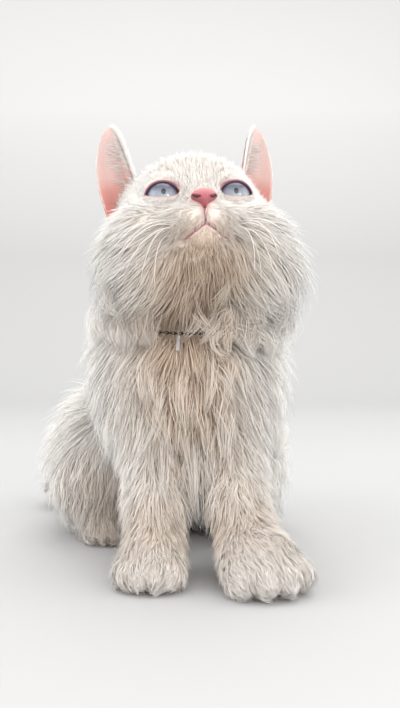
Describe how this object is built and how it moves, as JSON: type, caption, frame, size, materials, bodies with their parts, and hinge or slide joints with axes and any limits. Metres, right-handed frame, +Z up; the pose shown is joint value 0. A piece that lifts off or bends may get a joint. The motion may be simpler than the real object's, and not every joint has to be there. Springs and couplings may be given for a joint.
{
  "type": "persian cat",
  "caption": "Life-size still figure of a white long-haired Persian cat, seated upright with its head lifted and a thin collar with a small tag.",
  "frame": {"origin": "middle of the bounding box at floor level, under the seated cat", "axes": "+Z is up, the cat faces -Y and its left side is towards +X"},
  "size_m": [0.2336, 0.3527, 0.3218],
  "materials": {
    "white_coat": "long soft fur, matte",
    "ear_skin": "thin pink skin with short pale hair, matte",
    "nose_skin": "damp pink skin, satin",
    "blue_eye": "clear and wet, gloss",
    "dark_cord": "fine dark links, satin",
    "pale_tag": "polished with dark edges"
  },
  "bodies": {
    "root": {"torso": "white_coat", "chest": "white_coat", "neck": "white_coat", "head": "white_coat", "foreleg_left": "white_coat", "foreleg_right": "white_coat", "forepaw_left": "white_coat", "forepaw_right": "white_coat", "hindleg_left": "white_coat", "hindleg_right": "white_coat", "hindpaw_left": "white_coat", "hindpaw_right": "white_coat", "tail_base": "white_coat", "tail_tip": "white_coat", "ear_left": "ear_skin", "ear_right": "ear_skin", "nose": "nose_skin", "eye_left": "blue_eye", "eye_right": "blue_eye", "collar": "dark_cord", "tag": "pale_tag"}
  },
  "joints": []
}
